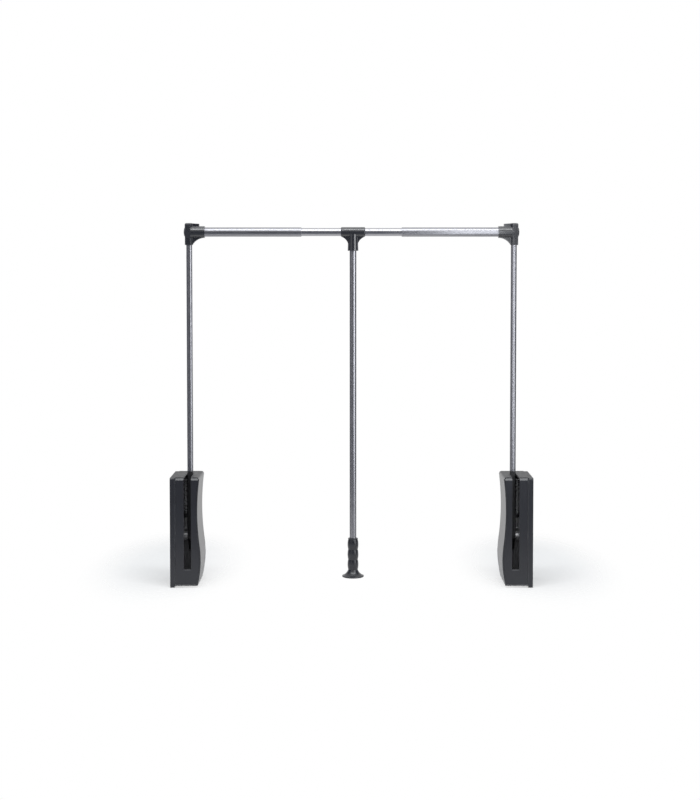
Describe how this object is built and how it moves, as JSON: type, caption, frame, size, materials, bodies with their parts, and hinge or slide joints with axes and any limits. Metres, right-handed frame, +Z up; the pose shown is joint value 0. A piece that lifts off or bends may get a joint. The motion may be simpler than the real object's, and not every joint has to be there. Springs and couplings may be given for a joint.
{
  "type": "pull down closet rod",
  "caption": "Wardrobe lift: spring boxes on both side walls carry swinging arms and a telescoping hanging rail that a centre handle pulls down.",
  "frame": {"origin": "middle of the width and depth at the height of the boxes' lower ends", "axes": "+X along the hanging rail, +Z up, -Y towards the person who pulls the handle"},
  "size_m": [0.845, 0.125, 0.85],
  "materials": {
    "charcoal_plastic": "fine moulded texture",
    "black_nylon": "plain moulded",
    "black_rubber": "matt",
    "plated_sheet": "zinc plated",
    "spring_steel": "oiled spring wire",
    "black_steel": "black screw",
    "satin_tube": "satin grey coated tube",
    "polished_steel": "bright plated"
  },
  "bodies": {
    "left_housing": {"left_mounting_plate": "charcoal_plastic", "left_housing_shell": "charcoal_plastic", "left_slot_fascia": "charcoal_plastic", "left_spring_frame": "plated_sheet", "left_pivot_shaft": "plated_sheet", "left_pivot_spacer": "plated_sheet", "left_springs": "spring_steel", "left_spring_guides": "plated_sheet", "left_damper_cylinder": "plated_sheet", "left_arm_stop": "black_rubber", "left_frame_screws": "black_steel"},
    "left_pusher": {"left_pusher": "black_nylon", "left_damper_rod": "polished_steel"},
    "left_arm_frame": {"left_lever": "black_nylon", "left_pivot_bush": "black_nylon", "left_arm_tube": "satin_tube", "left_arm_screws": "black_steel", "left_corner_joint": "charcoal_plastic", "left_corner_cap": "charcoal_plastic", "left_rail_sleeve": "satin_tube"},
    "right_housing": {"right_mounting_plate": "charcoal_plastic", "right_housing_shell": "charcoal_plastic", "right_slot_fascia": "charcoal_plastic", "right_spring_frame": "plated_sheet", "right_pivot_shaft": "plated_sheet", "right_pivot_spacer": "plated_sheet", "right_springs": "spring_steel", "right_spring_guides": "plated_sheet", "right_damper_cylinder": "plated_sheet", "right_arm_stop": "black_rubber", "right_frame_screws": "black_steel"},
    "right_pusher": {"right_pusher": "black_nylon", "right_damper_rod": "polished_steel"},
    "right_arm_frame": {"right_lever": "black_nylon", "right_pivot_bush": "black_nylon", "right_arm_tube": "satin_tube", "right_arm_screws": "black_steel", "right_corner_joint": "charcoal_plastic", "right_corner_cap": "charcoal_plastic", "right_rail_sleeve": "satin_tube"},
    "centre_rail": {"centre_tube": "polished_steel"},
    "pull_handle": {"pull_tee": "charcoal_plastic", "tee_screw": "black_steel", "pull_rod": "satin_tube", "pull_grip": "charcoal_plastic"}
  },
  "joints": [
    {"name": "lift", "type": "hinge", "parent": "left_housing", "child": "left_arm_frame", "pos_m": [0, 0.0125, 0.11], "axis": [1, 0, 0], "range_deg": [0, 125], "stiffness_Nm_per_rad": 25, "springref_deg": -20.05},
    {"name": "left telescope", "type": "slide", "parent": "left_arm_frame", "child": "centre_rail", "axis": [1, 0, 0], "range_m": [-0.084, 0.022]},
    {"name": "pull handle swing", "type": "hinge", "parent": "centre_rail", "child": "pull_handle", "pos_m": [0.0035, 0.0125, 0.829], "axis": [1, 0, 0], "continuous": true},
    {"name": "right telescope", "type": "slide", "parent": "centre_rail", "child": "right_arm_frame", "axis": [1, 0, 0], "range_m": [-0.084, 0.022]},
    {"name": "right pivot", "type": "hinge", "parent": "right_arm_frame", "child": "right_housing", "pos_m": [0, 0.0125, 0.11], "axis": [1, 0, 0], "range_deg": [-125, 0]},
    {"name": "left pusher slide", "type": "slide", "parent": "left_housing", "child": "left_pusher", "axis": [0, 0, 1], "range_m": [0, 0.0262], "deforming": ["left_springs"]},
    {"name": "right pusher slide", "type": "slide", "parent": "right_housing", "child": "right_pusher", "axis": [0, 0, 1], "range_m": [0, 0.0262], "deforming": ["right_springs"]}
  ],
  "couplings": [
    {"joint": "right pivot", "follows": "lift", "ratio": -1},
    {"joint": "left pusher slide", "follows": "lift", "m_per_rad": 0.012},
    {"joint": "right pusher slide", "follows": "lift", "m_per_rad": 0.012}
  ]
}
